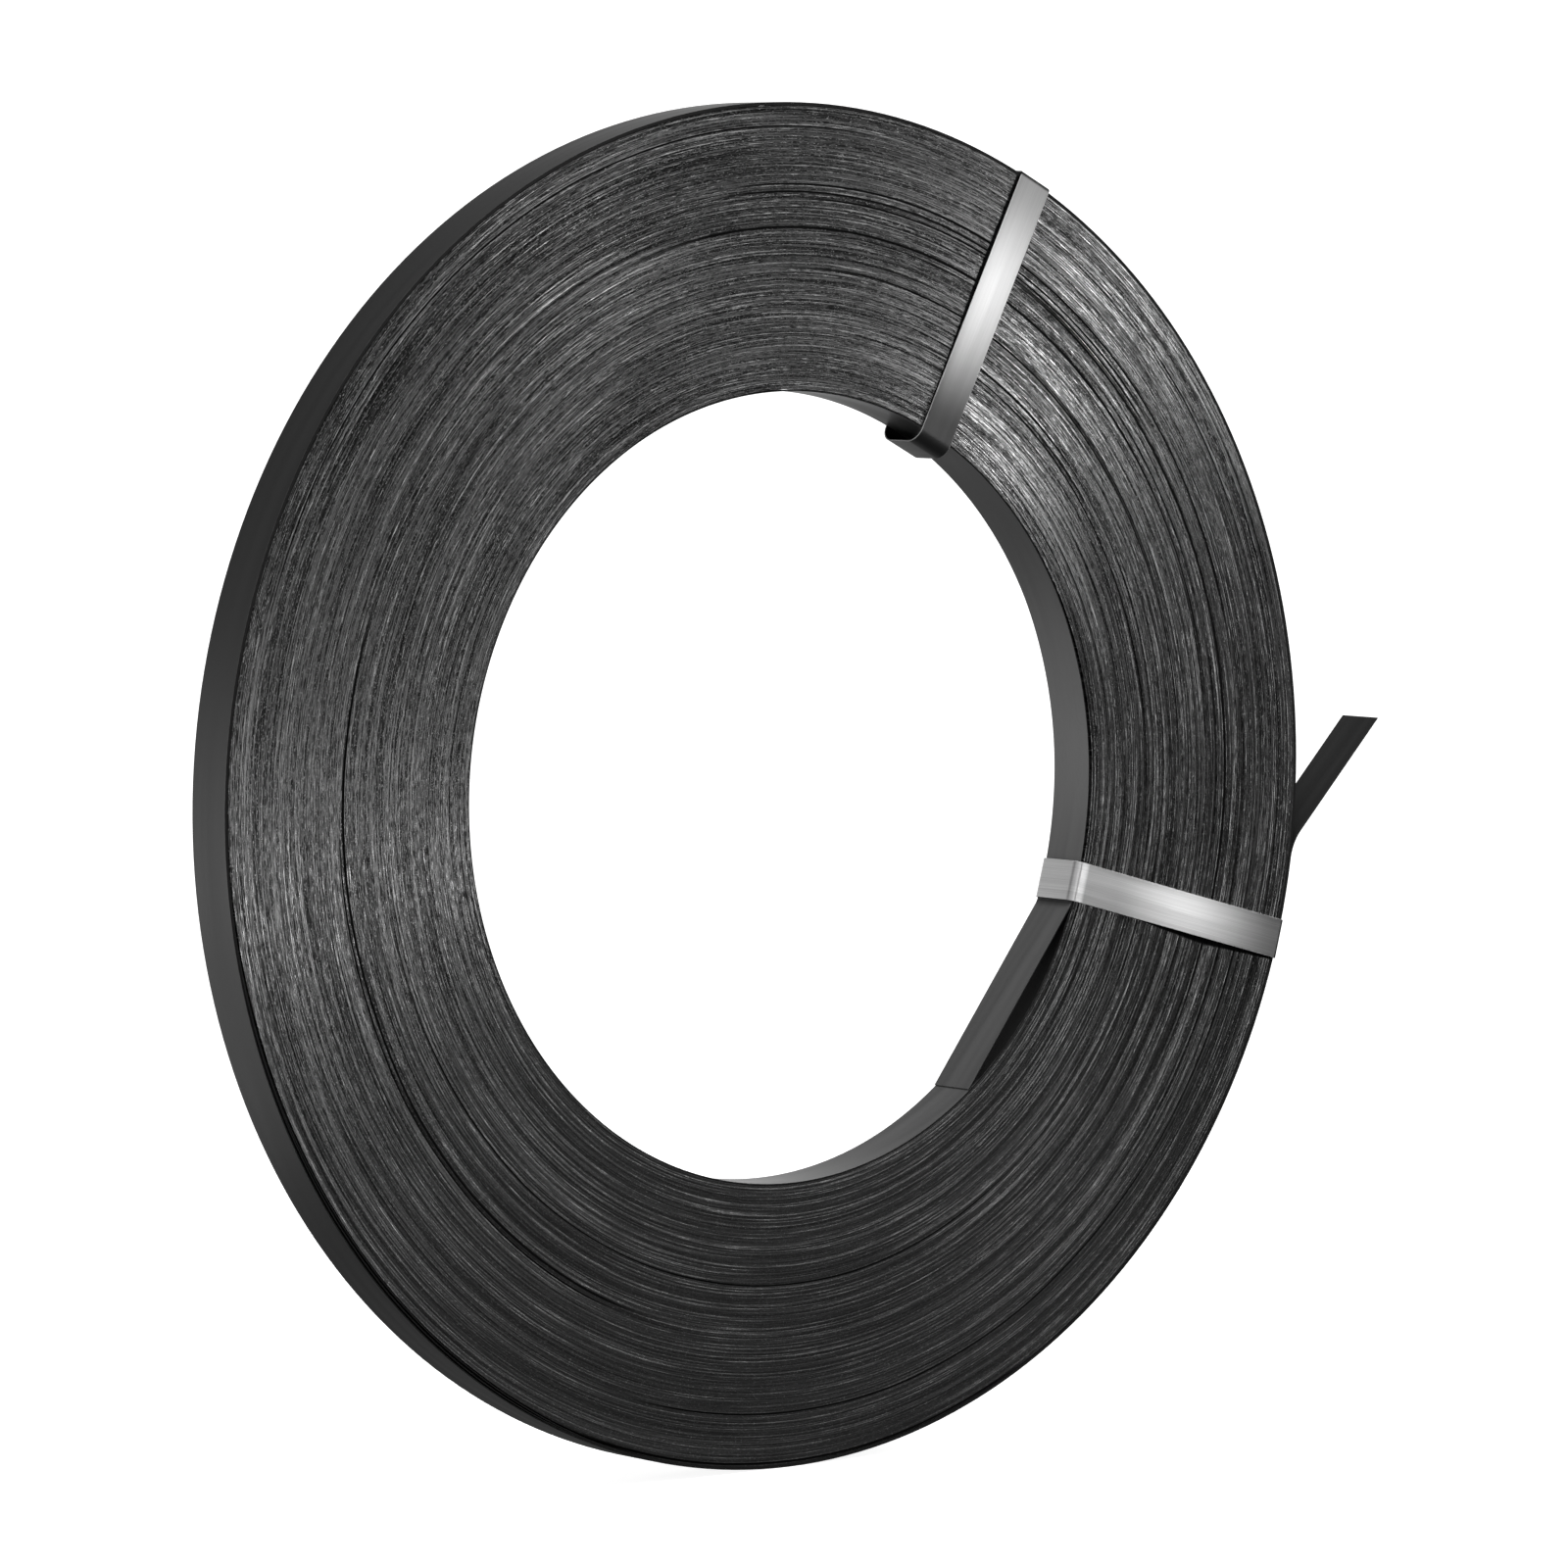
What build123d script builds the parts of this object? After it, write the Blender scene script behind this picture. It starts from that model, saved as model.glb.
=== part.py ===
"""A ribbon-wound coil of flat steel strapping, held by two narrower steel tie bands.

Millimetres, +Z up. The coil stands on its rim. Its axis is the Y axis and its near end faces -Y. The origin is the
middle of the coil, halfway across the strap. Seen from -Y, angles run anticlockwise from +X, and the strap winds
outwards anticlockwise. Each tie band goes once round the coil's section and its two ends lap on the far end.
"""

from build123d import *

import os
from math import asin, cos, degrees, radians, sin, sqrt

# Strap
strap_width = 25.4
strap_thickness = 0.5

# Coil
outer_radius = 318.0
bore_radius = 184.0
outer_turns = 4.0
group_count = 13
edge_scatter = 0.45
loose_edges = (8, 12)
loose_gap = 0.8
loose_gap_depth = 5.0

# Outer end of the strap: it leaves the rim, bends outwards and runs straight
outer_end_angle = -8.8
outer_end_bend = 35.0
outer_end_bend_radius = 25.0
outer_end_length = 73.7

# Inner end of the strap: a straight chord from the lower tie band to the bore's wall
inner_end_length = 104.0
inner_end_gap = 1.7
inner_end_bend_radius = 12.0

# Tie bands
tie_width = 19.05
tie_thickness = 0.6
tie_offset = 5.0
lap_length = 45.0
rim_bend_radius = 1.5
upper_tie_heading = 63.0
upper_tie_bend_radius = 6.5
upper_tie_slack = 2.0
lower_tie_heading = -15.1
lower_tie_bend_radius = 3.0
lower_tie_slack = 0.2

# The tie bands lie on the groups of turns that stand out furthest.
half_width = strap_width / 2
tie_inside = half_width + edge_scatter


def at_angle(radius, angle):
    """The point at a radius and an angle in degrees."""
    return (radius * cos(radians(angle)), radius * sin(radians(angle)))


def group_edge(k):
    """Radius where group k of the turns starts. The groups are unevenly wide, and the outermost is thin."""
    if k == group_count:
        return outer_radius
    inner_count = group_count - 1
    steps = k
    if k < inner_count:
        steps += 0.3 * sin(1.6 * k)
    return bore_radius + steps / inner_count * (outer_radius - outer_turns - bore_radius)


def group_shift(k):
    """How far group k is shifted along the axis. The innermost and the outermost are not."""
    if k in (0, group_count - 1):
        return 0.0
    return edge_scatter * sin(2.4 * k)


def end_outline(end, depth):
    """The turned outline of one end of the coil from the bore to the rim, as radius and Y.

    Each loose edge is a gap between two turns, cut as a groove to the given Y.
    """
    points = []
    for k in range(group_count):
        y = end + group_shift(k)
        start, stop = group_edge(k), group_edge(k + 1)
        if k in loose_edges:
            start += loose_gap / 2
            points.append((start, depth))
        points += [(start, y)]
        if k + 1 in loose_edges:
            stop -= loose_gap / 2
            points += [(stop, y), (stop, depth)]
        else:
            points.append((stop, y))
    return points


def corner_ease(bend_radius):
    """How far a bend has to stand off the coil's square corner, which it clears sideways by the scatter."""
    drop = max(bend_radius - edge_scatter, 0.0)
    return bend_radius - sqrt(bend_radius**2 - drop**2)


# The inner end leaves the bore's wall at the lower tie band's clockwise edge.
inner_end_angle = lower_tie_heading - degrees(asin((tie_offset + tie_width / 2) / bore_radius))
inner_end_radius = bore_radius - inner_end_gap
inner_end_turn = degrees(
    asin((bore_radius**2 + inner_end_length**2 - inner_end_radius**2) / (2 * bore_radius * inner_end_length))
)

with BuildPart() as strapping_coil:
    with BuildSketch(Plane.XY):
        with BuildLine():
            near_end = end_outline(-half_width, loose_gap_depth - half_width)
            far_end = end_outline(half_width, half_width - loose_gap_depth)
            Polyline(*near_end, *reversed(far_end), close=True)
        make_face()
    revolve(axis=Axis.Y)
    with BuildSketch(Plane.XZ):
        with BuildLine():
            outer_root = at_angle(outer_radius - strap_thickness, outer_end_angle)
            outer_tangent = at_angle(1, outer_end_angle + 90)
            outer_arc = JernArc(outer_root, outer_tangent, outer_end_bend_radius, -outer_end_bend)
            Line(outer_arc @ 1, outer_arc @ 1 + outer_end_length * (outer_arc % 1))
        trace(line_width=strap_thickness)
        with BuildLine():
            inner_root = at_angle(bore_radius + strap_thickness, inner_end_angle)
            inner_tangent = at_angle(1, inner_end_angle - 90)
            inner_arc = JernArc(inner_root, inner_tangent, inner_end_bend_radius, -inner_end_turn)
            Line(inner_arc @ 1, inner_arc @ 1 + inner_end_length * (inner_arc % 1))
        trace(line_width=strap_thickness)
    extrude(amount=half_width, both=True)


def tie_band(heading, bend_radius, slack):
    """A band bent once round the coil's section. In its sketch, x runs outwards along the heading and y is +Y."""
    outwards = at_angle(1, heading)
    sideways = at_angle(1, heading + 90)
    section_plane = Plane((0, 0, 0), x_dir=(outwards[0], 0, outwards[1]), z_dir=(sideways[0], 0, sideways[1]))
    seat = sqrt(bore_radius**2 - (tie_offset + tie_width / 2) ** 2)
    inside_start = seat - corner_ease(bend_radius) - slack
    inside_end = outer_radius + corner_ease(rim_bend_radius)
    with BuildPart() as band:
        with BuildSketch(section_plane.offset(-tie_offset)):
            for wall, mode in ((tie_thickness, Mode.ADD), (0.0, Mode.SUBTRACT)):
                with BuildSketch(mode=mode):
                    with Locations(((inside_start + inside_end) / 2, 0)):
                        loop = Rectangle(inside_end - inside_start + 2 * wall, 2 * (tie_inside + wall))
                    corners = loop.vertices().group_by(Axis.X)
                    fillet(corners[0], bend_radius + wall)
                    fillet(corners[-1], rim_bend_radius + wall)
            with Locations(((bore_radius + outer_radius) / 2, tie_inside + 1.5 * tie_thickness)):
                Rectangle(lap_length, tie_thickness)
        extrude(amount=tie_width / 2, both=True)
    return band.part


upper_tie_band = tie_band(upper_tie_heading, upper_tie_bend_radius, upper_tie_slack)
lower_tie_band = tie_band(lower_tie_heading, lower_tie_bend_radius, lower_tie_slack)

strapping_coil.part.label = "strapping_coil"
upper_tie_band.label = "upper_tie_band"
lower_tie_band.label = "lower_tie_band"

os.makedirs("parts", exist_ok=True)
export_step(strapping_coil.part, "parts/strapping_coil.step")
export_step(upper_tie_band, "parts/upper_tie_band.step")
export_step(lower_tie_band, "parts/lower_tie_band.step")
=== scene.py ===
"""The dressed coil of steel strapping: its turns, free ends and tie bands, with floor, light and camera."""

import logging
from dataclasses import dataclass, field
from enum import Enum
from math import asin, cos, degrees, radians, sin, sqrt, tau
from typing import Any, Union

import bpy
from mathutils import Matrix, Vector


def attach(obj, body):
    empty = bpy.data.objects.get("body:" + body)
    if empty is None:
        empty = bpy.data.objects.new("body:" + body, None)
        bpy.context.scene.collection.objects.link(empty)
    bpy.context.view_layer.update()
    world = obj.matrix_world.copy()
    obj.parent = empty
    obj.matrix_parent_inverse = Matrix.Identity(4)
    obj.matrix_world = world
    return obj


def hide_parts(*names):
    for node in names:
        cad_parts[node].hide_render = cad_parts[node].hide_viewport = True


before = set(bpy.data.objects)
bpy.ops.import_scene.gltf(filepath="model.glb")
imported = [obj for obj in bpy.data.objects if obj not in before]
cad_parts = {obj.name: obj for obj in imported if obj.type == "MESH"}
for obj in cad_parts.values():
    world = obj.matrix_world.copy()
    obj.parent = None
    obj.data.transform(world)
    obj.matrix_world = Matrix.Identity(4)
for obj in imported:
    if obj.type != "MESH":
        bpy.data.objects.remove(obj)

log = logging.getLogger("coil")

Tree = bpy.types.NodeTree
Node = bpy.types.Node
Socket = bpy.types.NodeSocket
Place = tuple[float, float, float]
Colour = tuple[float, float, float, float]
Value = Union[Socket, float, Place, Colour]

SHADING = "ShaderNodeTree"
GEOMETRY_TREE = "GeometryNodeTree"
FLOAT = "NodeSocketFloat"
INT = "NodeSocketInt"
VECTOR = "NodeSocketVector"
GEOMETRY = "NodeSocketGeometry"
MATERIAL = "NodeSocketMaterial"

MM = 0.001
BORE_RADIUS = 184.0 * MM
RIM_RADIUS = 318.0 * MM
STRAP_WIDTH = 25.4 * MM
STRAP_THICKNESS = 0.5 * MM
STRAP_EDGE = 0.1 * MM
TIE_WIDTH = 19.05 * MM
TIE_OFFSET = 5.0 * MM
LAP_MIDDLE = (BORE_RADIUS + RIM_RADIUS) / 2
WEAR_BAND = 0.35 * MM
BUMP_DEPTH = 0.02 * MM
MERGE_DISTANCE = 1e-6
FULL_TURN = 360.0
CREASE = 35.0
STRIP_CREASE = 20.0
PATH_STEP = 1.5
TAIL_STEPS = 8
CORNER_STEPS = 2
BEND_STEPS = 12

# The outermost turn keeps a little inside the CAD rim.
OUTER_RADIUS = RIM_RADIUS - 0.1 * MM


class Slot(Enum):
    """The record's material slots."""

    STRAP = "black_strap"
    BAND = "bright_band"


class Ramp(Enum):
    """How a ramp runs from its start to its end."""

    STRAIGHT = "LINEAR"
    EASED = "SMOOTHSTEP"


class Wiring:
    """Adds nodes to one node tree and joins them up."""

    def __init__(self, tree: Tree) -> None:
        """Keeps the tree."""
        self.tree = tree

    def add(self, kind: str, inputs: dict | None = None, **settings: Any) -> Node:
        """Adds a node.

        Args:
            kind: The node's type name.
            inputs: Values or output sockets, keyed by the input's name or number.
            **settings: The node's own properties.

        Returns:
            The new node.
        """
        node = self.tree.nodes.new(kind)
        for name, value in settings.items():
            setattr(node, name, value)
        for key, value in (inputs or {}).items():
            self.feed(node.inputs[key], value)
        return node

    def feed(self, socket: Socket, value: Value) -> None:
        """Links an output socket to an input, or sets the input's value.

        Args:
            socket: The input.
            value: An output socket or a plain value.
        """
        if isinstance(value, bpy.types.NodeSocket):
            self.tree.links.new(value, socket)
        else:
            socket.default_value = value

    def group(self, tree: Tree, inputs: dict) -> bpy.types.NodeOutputs:
        """The outputs of a shader group with the given inputs."""
        return self.add("ShaderNodeGroup", inputs, node_tree=tree).outputs

    def geo(self, kind: str, inputs: dict | None = None, **settings: Any) -> Socket:
        """The first output of a geometry node."""
        return self.add("GeometryNode" + kind, inputs, **settings).outputs[0]

    def math(self, operation: str, *values: Value, clamp: bool = False) -> Socket:
        """The result of a Math node with one to three inputs, kept between 0 and 1 if clamped."""
        inputs = dict(enumerate(values))
        return self.add("ShaderNodeMath", inputs, operation=operation, use_clamp=clamp).outputs[0]

    def plus(self, first: Value, second: Value) -> Socket:
        """The sum of two numbers."""
        return self.math("ADD", first, second)

    def minus(self, first: Value, second: Value) -> Socket:
        """The first number less the second."""
        return self.math("SUBTRACT", first, second)

    def times(self, first: Value, second: Value) -> Socket:
        """The product of two numbers."""
        return self.math("MULTIPLY", first, second)

    def fused(self, value: Value, factor: Value, extra: Value) -> Socket:
        """A number times a factor, plus another number."""
        return self.math("MULTIPLY_ADD", value, factor, extra)

    def blend(self, first: Value, second: Value, share: float) -> Socket:
        """A share of one number plus the rest of another."""
        return self.plus(self.times(first, share), self.times(second, 1.0 - share))

    def size(self, value: Value) -> Socket:
        """A number without its sign."""
        return self.math("ABSOLUTE", value)

    def vector(self, operation: str, inputs: dict) -> bpy.types.NodeOutputs:
        """The outputs Vector and Value of a Vector Math node."""
        return self.add("ShaderNodeVectorMath", inputs, operation=operation).outputs

    def shift(self, first: Value, second: Value) -> Socket:
        """The sum of two vectors."""
        return self.vector("ADD", {0: first, 1: second})["Vector"]

    def dot(self, first: Value, second: Value) -> Socket:
        """The dot product of two vectors."""
        return self.vector("DOT_PRODUCT", {0: first, 1: second})["Value"]

    def scale(self, vector: Value, factor: Value) -> Socket:
        """A vector times a number."""
        return self.vector("SCALE", {0: vector, "Scale": factor})["Vector"]

    def unit(self, vector: Value) -> Socket:
        """A vector's direction."""
        return self.vector("NORMALIZE", {0: vector})["Vector"]

    def combine(self, x: Value, y: Value, z: Value) -> Socket:
        """A vector from three parts."""
        return self.add("ShaderNodeCombineXYZ", {"X": x, "Y": y, "Z": z}).outputs[0]

    def parts(self, vector: Value) -> bpy.types.NodeOutputs:
        """The parts X, Y and Z of a vector."""
        return self.add("ShaderNodeSeparateXYZ", {0: vector}).outputs

    def remap(self, value: Value, low: Value, high: Value, to_low: Value = 0.0, to_high: Value = 1.0,
              ramp: Ramp = Ramp.STRAIGHT) -> Socket:
        """Maps the range from low to high onto another, clamped."""
        inputs = {"Value": value, "From Min": low, "From Max": high, "To Min": to_low, "To Max": to_high}
        return self.add("ShaderNodeMapRange", inputs, interpolation_type=ramp.value).outputs[0]

    def noise(self, point: Value, scale: float = 1.0, detail: float = 2.0, roughness: float = 0.5) -> Socket:
        """Noise between 0 and 1 at a point: blobs to the unit, number of finer layers and their strength."""
        inputs = {"Vector": point, "Scale": scale, "Detail": detail, "Roughness": roughness}
        return self.add("ShaderNodeTexNoise", inputs, noise_dimensions="3D").outputs[0]

    def mix(self, factor: Value, first: Value, second: Value) -> Socket:
        """Blends two colours. A factor of 0 gives the first and 1 the second."""
        return self.add("ShaderNodeMix", {"Factor": factor, 6: first, 7: second}, data_type="RGBA").outputs[2]

    def surface(self, inputs: dict) -> None:
        """Adds the main shader and the material's output."""
        shader = self.add("ShaderNodeBsdfPrincipled", inputs)
        self.add("ShaderNodeOutputMaterial", {"Surface": shader.outputs[0]})


def emptied(owner: bpy.types.ID) -> Wiring:
    """Clears the nodes of a material or world, and gives its wiring."""
    owner.use_nodes = True
    owner.node_tree.nodes.clear()
    return Wiring(owner.node_tree)


def place_object(name: str, data: bpy.types.ID) -> bpy.types.Object:
    """Adds an object to the scene."""
    placed = bpy.data.objects.new(name, data)
    bpy.context.scene.collection.objects.link(placed)
    return placed


def grey(value: float) -> Colour:
    """A neutral colour of one brightness."""
    return (value, value, value, 1.0)


def direction(angle: float) -> Place:
    """The direction at an angle in degrees round the coil's axis, seen from its near end."""
    return (cos(radians(angle)), 0.0, sin(radians(angle)))


Started = tuple[Tree, Wiring, dict[str, Socket]]


def new_tree(name: str, kind: str, inputs: dict[str, str], outputs: dict[str, str]) -> Started:
    """Makes a node tree or node group with named sockets.

    Args:
        name: The tree's name.
        kind: GeometryNodeTree or ShaderNodeTree.
        inputs: Socket type by name.
        outputs: Socket type by name.

    Returns:
        The tree, its wiring and its input sockets by name.
    """
    tree = bpy.data.node_groups.new(name, kind)
    for label, socket_type in inputs.items():
        tree.interface.new_socket(label, in_out="INPUT", socket_type=socket_type)
    for label, socket_type in outputs.items():
        tree.interface.new_socket(label, in_out="OUTPUT", socket_type=socket_type)
    wiring = Wiring(tree)
    source = wiring.add("NodeGroupInput")
    return tree, wiring, {label: source.outputs[label] for label in inputs}


def run_geometry_nodes(name: str, tree: Tree, values: dict,
                       path: bpy.types.Curve | None = None) -> bpy.types.Object:
    """Evaluates a geometry node tree on an object and keeps the result as a plain mesh.

    Args:
        name: The finished piece's name.
        tree: The geometry node tree.
        values: The tree's inputs by name.
        path: The curve that the tree starts from, if it needs one.

    Returns:
        The finished piece, at the origin.
    """
    carrier = place_object(name + "_source", path or bpy.data.meshes.new(name + "_start"))
    modifier = carrier.modifiers.new("nodes", "NODES")
    modifier.node_group = tree
    sockets = {item.name: item.identifier for item in tree.interface.items_tree if item.in_out == "INPUT"}
    for label, value in values.items():
        modifier[sockets[label]] = value
    graph = bpy.context.evaluated_depsgraph_get()
    mesh = bpy.data.meshes.new_from_object(carrier.evaluated_get(graph), depsgraph=graph)
    carrier.modifiers.remove(modifier)
    bpy.data.objects.remove(carrier)
    mesh.name = name
    return place_object(name, mesh)


def report(piece: bpy.types.Object) -> None:
    """Logs a finished piece's size in triangles."""
    piece.data.calc_loop_triangles()
    log.info("%s: %d triangles", piece.name, len(piece.data.loop_triangles))


# Shared effects

def brushing_group() -> Tree:
    """Fine lines along a strip, with a slower drift of tone.

    Returns:
        The shader group.
    """
    drift_fineness, drift_stretch = 110.0, 0.35
    inputs = {"Along": VECTOR, "Across": FLOAT, "Fineness": FLOAT, "Stretch": FLOAT}
    tree, w, at = new_tree("lengthwise_brushing", SHADING, inputs, {"Lines": FLOAT, "Drift": FLOAT})
    along = w.scale(at["Along"], at["Stretch"])
    across = w.times(at["Across"], at["Fineness"])
    fine = w.noise(w.shift(along, w.combine(across, across, 0.0)), detail=3.0, roughness=0.65)
    across = w.times(at["Across"], drift_fineness)
    slow = w.noise(w.shift(w.scale(along, drift_stretch), w.combine(across, 0.0, across)), detail=1.0)
    drift = w.remap(slow, 0.3, 0.7, ramp=Ramp.EASED)
    w.add("NodeGroupOutput", {"Lines": w.remap(fine, 0.28, 0.72), "Drift": drift})
    return tree


def edge_wear_group() -> Tree:
    """Bare metal along the edges of a strip, broken up along its length.

    Returns:
        The shader group.
    """
    inputs = {"Point": VECTOR, "Across": FLOAT, "Half Width": FLOAT}
    tree, w, at = new_tree("edge_wear", SHADING, inputs, {"Mask": FLOAT})
    inside = w.minus(at["Half Width"], w.size(at["Across"]))
    breakup = w.noise(at["Point"], scale=260.0, detail=3.0, roughness=0.6)
    reach = w.times(WEAR_BAND, w.remap(breakup, 0.35, 0.65, 0.35, 1.4))
    w.add("NodeGroupOutput", {"Mask": w.math("SUBTRACT", 1.0, w.math("DIVIDE", inside, reach), clamp=True)})
    return tree


def polar_group() -> Tree:
    """Radius and direction round the coil's axis, and the place across the strap's width.

    Returns:
        The shader group.
    """
    outputs = {"Radius": FLOAT, "Outward": VECTOR, "Width": FLOAT}
    tree, w, at = new_tree("round_the_axis", SHADING, {"Point": VECTOR}, outputs)
    parts = w.parts(at["Point"])
    flat = w.combine(parts["X"], 0.0, parts["Z"])
    radius = w.vector("LENGTH", {0: flat})["Value"]
    w.add("NodeGroupOutput", {"Radius": radius, "Outward": w.unit(flat), "Width": parts["Y"]})
    return tree


def loose_line_group() -> Tree:
    """A dark wandering line at one radius, fading out either side of one direction.

    Returns:
        The shader group.
    """
    slowness, variety, wandering = 2.5, 90.0, 0.8 * MM
    inputs = {"Radius": FLOAT, "Outward": VECTOR, "Line Radius": FLOAT, "Line Width": FLOAT, "Middle": VECTOR,
              "Reach": FLOAT}
    tree, w, at = new_tree("loose_line", SHADING, inputs, {"Mask": FLOAT})
    own = w.combine(0.0, w.times(at["Line Radius"], variety), 0.0)
    wander = w.noise(w.shift(w.scale(at["Outward"], slowness), own), detail=1.0)
    centre = w.plus(at["Line Radius"], w.fused(wander, 2 * wandering, -wandering))
    share = w.math("DIVIDE", w.size(w.minus(at["Radius"], centre)), at["Line Width"])
    facing = w.dot(at["Outward"], at["Middle"])
    window = w.remap(facing, at["Reach"], w.fused(at["Reach"], 0.5, 0.5), ramp=Ramp.EASED)
    w.add("NodeGroupOutput", {"Mask": w.times(w.remap(share, 0.60, 0.35), window)})
    return tree


def band_shadow_group() -> Tree:
    """A painted shadow along one edge of a tie band, wide at its peak and closing towards both bends.

    Returns:
        The shader group.
    """
    least_width, under_band = 0.01 * MM, -1.0 * MM
    names = ("Heading", "Side", "Start", "Peak", "Rim Share", "Width")
    inputs = {"Point": VECTOR, **{name: FLOAT for name in names}}
    tree, w, at = new_tree("band_shadow", SHADING, inputs, {"Mask": FLOAT})
    spin = w.combine(0.0, at["Heading"], 0.0)
    parts = w.parts(w.add("ShaderNodeMapping", {"Vector": at["Point"], "Rotation": spin}).outputs[0])
    beyond = w.minus(w.times(w.plus(parts["Z"], TIE_OFFSET), at["Side"]), TIE_WIDTH / 2)
    rising = w.remap(parts["X"], at["Start"], at["Peak"])
    falling = w.remap(parts["X"], at["Peak"], RIM_RADIUS, 1.0, at["Rim Share"])
    reach = w.math("MAXIMUM", w.times(w.times(rising, falling), at["Width"]), least_width)
    shadow_fade = w.remap(w.math("DIVIDE", beyond, reach), 1.1, 0.8)
    past_start = w.math("GREATER_THAN", parts["X"], at["Start"])
    beside = w.times(w.math("GREATER_THAN", beyond, under_band), past_start)
    w.add("NodeGroupOutput", {"Mask": w.times(shadow_fade, beside)})
    return tree


@dataclass(frozen=True)
class Effects:
    """The shared shader groups."""

    brushing: Tree
    edge_wear: Tree
    polar: Tree
    loose_line: Tree
    band_shadow: Tree


@dataclass(frozen=True)
class Finish:
    """What every finish has: a name and the way to start its material."""

    name: str

    def start(self) -> tuple[bpy.types.Material, Wiring, Socket]:
        """Makes an empty material, its wiring and the Object coordinates."""
        material = bpy.data.materials.new(self.name)
        w = emptied(material)
        return material, w, w.add("ShaderNodeTexCoord").outputs["Object"]


@dataclass(frozen=True)
class Streak:
    """Noise drawn out round the axis. Its length is in radians and its thickness in millimetres."""

    length: float
    thickness: float
    shift: float
    detail: float
    roughness: float = 0.6


@dataclass(frozen=True)
class Ring:
    """A material's wiring, with the distance and direction from the coil's axis and its upward part."""

    w: Wiring
    radius: Socket
    outward: Socket
    height: Socket

    def draw(self, streak: Streak) -> Socket:
        """Adds a streak's noise.

        Args:
            streak: The streak.

        Returns:
            The noise's value.
        """
        across = self.w.fused(self.radius, 1.0 / (streak.thickness * MM), streak.shift)
        along = self.w.scale(self.outward, 1.0 / streak.length)
        spot = self.w.shift(along, self.w.combine(0.0, across, 0.0))
        return self.w.noise(spot, detail=streak.detail, roughness=streak.roughness)


@dataclass(frozen=True)
class LooseLine:
    """A dark line where two turns stand a little apart, in millimetres and degrees."""

    radius: float
    width: float
    middle: float
    reach: float

    def inputs(self) -> dict[str, Value]:
        """The line's inputs to the loose line group."""
        return {"Line Radius": self.radius * MM, "Line Width": self.width * MM,
                "Middle": direction(self.middle), "Reach": cos(radians(self.reach))}


@dataclass(frozen=True)
class BandShadow:
    """A painted shadow along one edge of a tie band, where the band stands off the turns, in millimetres and
    degrees.
    """

    heading: float
    side: float
    start: float
    peak: float
    rim_share: float
    width: float

    def inputs(self) -> dict[str, Value]:
        """The painted shadow's inputs to the band shadow group."""
        return {"Heading": radians(self.heading), "Side": self.side, "Start": self.start * MM,
                "Peak": self.peak * MM, "Rim Share": self.rim_share, "Width": self.width * MM}


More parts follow.
